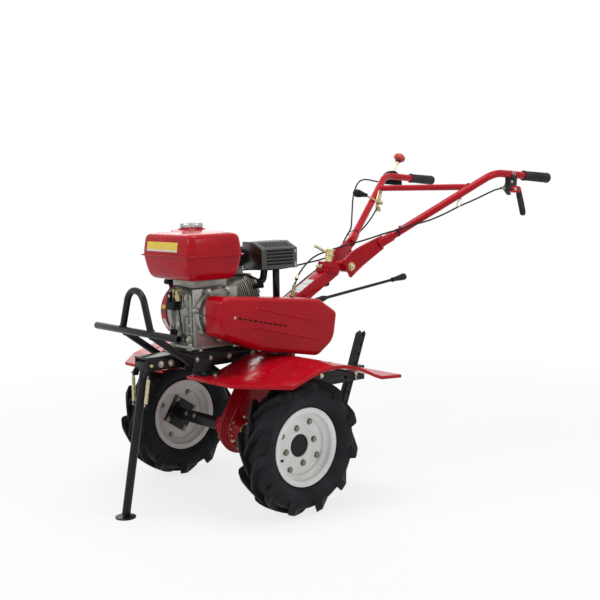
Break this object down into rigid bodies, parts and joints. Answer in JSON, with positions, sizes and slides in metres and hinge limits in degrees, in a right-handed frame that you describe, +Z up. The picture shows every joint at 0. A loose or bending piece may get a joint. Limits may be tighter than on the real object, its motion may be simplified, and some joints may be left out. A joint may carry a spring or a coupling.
{
  "type": "two-wheel garden tiller",
  "caption": "Walk-behind two-wheel garden tiller: petrol engine and belt cover on a gear case, wide fenders, long handlebars, front stand and rear hitch with depth bar.",
  "frame": {"origin": "centre of the footprint, on the ground", "axes": "-Y is the engine end, +X the machine's left side with the belt cover, +Z up"},
  "size_m": [0.83, 1.6644, 1.078],
  "materials": {
    "tyre": "matt",
    "wheel_white": "gloss",
    "red_paint": "gloss",
    "black_paint": "gloss",
    "engine_cast": "cast",
    "cap_chrome": "bright",
    "zinc_yellow": "satin",
    "grip_rubber": "matt",
    "black_plastic": "matt",
    "red_knob": "gloss",
    "cable_black": "satin"
  },
  "bodies": {
    "chassis": {"gear_case_left": "red_paint", "gear_case_right": "red_paint", "frame_rails": "black_paint", "engine_bed": "black_paint", "front_bracket": "black_paint", "stand_pin": "zinc_yellow", "stand_springs": "zinc_yellow", "bumper_bar": "black_paint", "bumper_hoop": "black_paint", "bumper_legs": "black_paint", "crankcase": "engine_cast", "crankcase_cover": "engine_cast", "cylinder": "engine_cast", "cylinder_head": "engine_cast", "recoil_housing": "red_paint", "carburettor": "engine_cast", "air_cleaner": "black_plastic", "fuel_tank": "red_paint", "fuel_cap": "cap_chrome", "tank_bracket": "black_paint", "muffler": "black_paint", "muffler_guard": "black_paint", "exhaust_pipes": "black_paint", "belt_cover": "red_paint", "belt_back_plate": "red_paint", "fender_left": "red_paint", "fender_right": "red_paint", "fender_brackets": "black_paint", "fender_stay": "black_paint", "handle_column": "red_paint", "hitch_arm": "black_paint", "depth_bar": "black_paint", "hitch_pin": "zinc_yellow", "gear_lever": "black_paint", "swivel_cables": "cable_black", "engine_cables": "cable_black"},
    "wheel_left": {"rim_left": "wheel_white", "tyre_left": "tyre", "hub_left": "black_paint"},
    "wheel_right": {"rim_right": "wheel_white", "tyre_right": "tyre", "hub_right": "black_paint"},
    "stand": {"stand_leg": "black_paint", "stand_foot": "black_paint"},
    "handlebar_head": {"swivel_head": "red_paint", "tilt_bolt": "zinc_yellow", "clamp_nut": "zinc_yellow"},
    "handlebars": {"arm_brackets": "red_paint", "handlebar_left": "red_paint", "handlebar_right": "red_paint", "cross_brace": "red_paint", "grips": "grip_rubber", "clutch_clamp": "black_paint", "clutch_lever": "black_paint", "shift_housing": "black_plastic", "shift_lever": "red_knob", "throttle_bracket": "zinc_yellow", "throttle_lever": "black_plastic", "handlebar_cables": "cable_black", "tilt_cables": "cable_black"}
  },
  "joints": [
    {"name": "wheel_left_spin", "type": "hinge", "parent": "chassis", "child": "wheel_left", "pos_m": [0.31, -0.39924, 0.2], "axis": [1, 0, 0], "continuous": true},
    {"name": "wheel_right_spin", "type": "hinge", "parent": "chassis", "child": "wheel_right", "pos_m": [-0.31, -0.39924, 0.2], "axis": [1, 0, 0], "continuous": true},
    {"name": "stand_fold", "type": "hinge", "parent": "chassis", "child": "stand", "pos_m": [0, -0.72124, 0.441], "axis": [1, 0, 0], "range_deg": [0, 45], "stiffness_Nm_per_rad": 12, "springref_deg": -14.9, "deforming": ["stand_springs"]},
    {"name": "handlebar_swivel", "type": "hinge", "parent": "chassis", "child": "handlebar_head", "pos_m": [0, 0.00076, 0.663], "axis": [0, 0.1736, 0.9848], "range_deg": [-30, 30], "deforming": ["swivel_cables"]},
    {"name": "handlebar_tilt", "type": "hinge", "parent": "handlebar_head", "child": "handlebars", "pos_m": [0, 0.06721, 0.68276], "axis": [1, 0, 0], "range_deg": [-15, 15], "deforming": ["tilt_cables"]}
  ]
}
